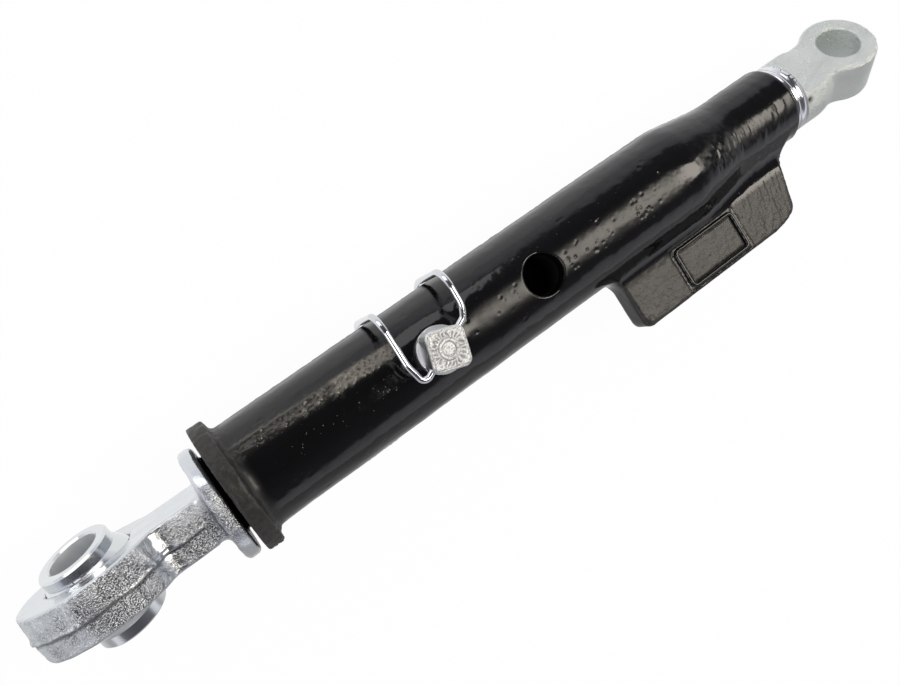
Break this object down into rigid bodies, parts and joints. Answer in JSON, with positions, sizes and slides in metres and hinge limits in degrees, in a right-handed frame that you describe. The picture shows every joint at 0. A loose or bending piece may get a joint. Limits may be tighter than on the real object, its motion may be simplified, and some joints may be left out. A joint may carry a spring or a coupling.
{
  "type": "tractor lower link stabilizer",
  "caption": "Telescoping stabilizer bar for a tractor's lower link: cast tube with flange, side lug and cross holes, forged sliding ball end, lock pin with wire clip, and screw-in plain eye.",
  "frame": {"origin": "centre of the plain screw eye's bore", "axes": "+X runs along the stabilizer's long axis and out past the eye, so the ball end lies towards -X; +Z is the axis of the cross holes and of the lock pin, with the pin's head on top; the cast lug stands out towards -Y"},
  "size_m": [0.567, 0.0982, 0.0873],
  "materials": {
    "black_paint": "gloss black paint on rough sand-cast iron",
    "zinc_forging": "bright zinc plate on a rough shot-blasted forging",
    "turned_zinc": "bright zinc plate on turned steel",
    "zinc_pin": "bright zinc plate, grainy struck head",
    "zinc_wire": "bright zinc-plated spring wire",
    "zinc_eye": "fine-grained satin zinc plate on a forging"
  },
  "bodies": {
    "casting": {"outer_casting": "black_paint"},
    "bar": {"slide_bar": "zinc_forging"},
    "ball": {"swivel_ball": "turned_zinc"},
    "pin": {"lock_pin": "zinc_pin"},
    "clip": {"wire_clip": "zinc_wire"},
    "eye": {"screw_eye": "zinc_eye"}
  },
  "joints": [
    {"name": "bar_slide", "type": "slide", "parent": "casting", "child": "bar", "axis": [-1, 0, 0], "range_m": [-0.0022, 0.04]},
    {"name": "ball_tilt", "type": "hinge", "parent": "bar", "child": "ball", "pos_m": [-0.5065, -0.00279, -0.0002], "axis": [1, 0, 0], "range_deg": [-21, 0.6]},
    {"name": "eye_turn", "type": "hinge", "parent": "casting", "child": "eye", "pos_m": [0, 0, 0], "axis": [1, 0, 0], "range_deg": [-180, 180]},
    {"name": "pin_pull", "type": "slide", "parent": "casting", "child": "pin", "axis": [0, 0, 1], "range_m": [0, 0.0671]},
    {"name": "clip_swing", "type": "hinge", "parent": "pin", "child": "clip", "pos_m": [-0.315, 0, 0.04], "axis": [0.9063, 0.4226, 0], "range_deg": [0, 160]}
  ],
  "couplings": [
    {"joint": "pin_pull", "follows": "clip_swing", "m_per_rad": 0.024}
  ]
}
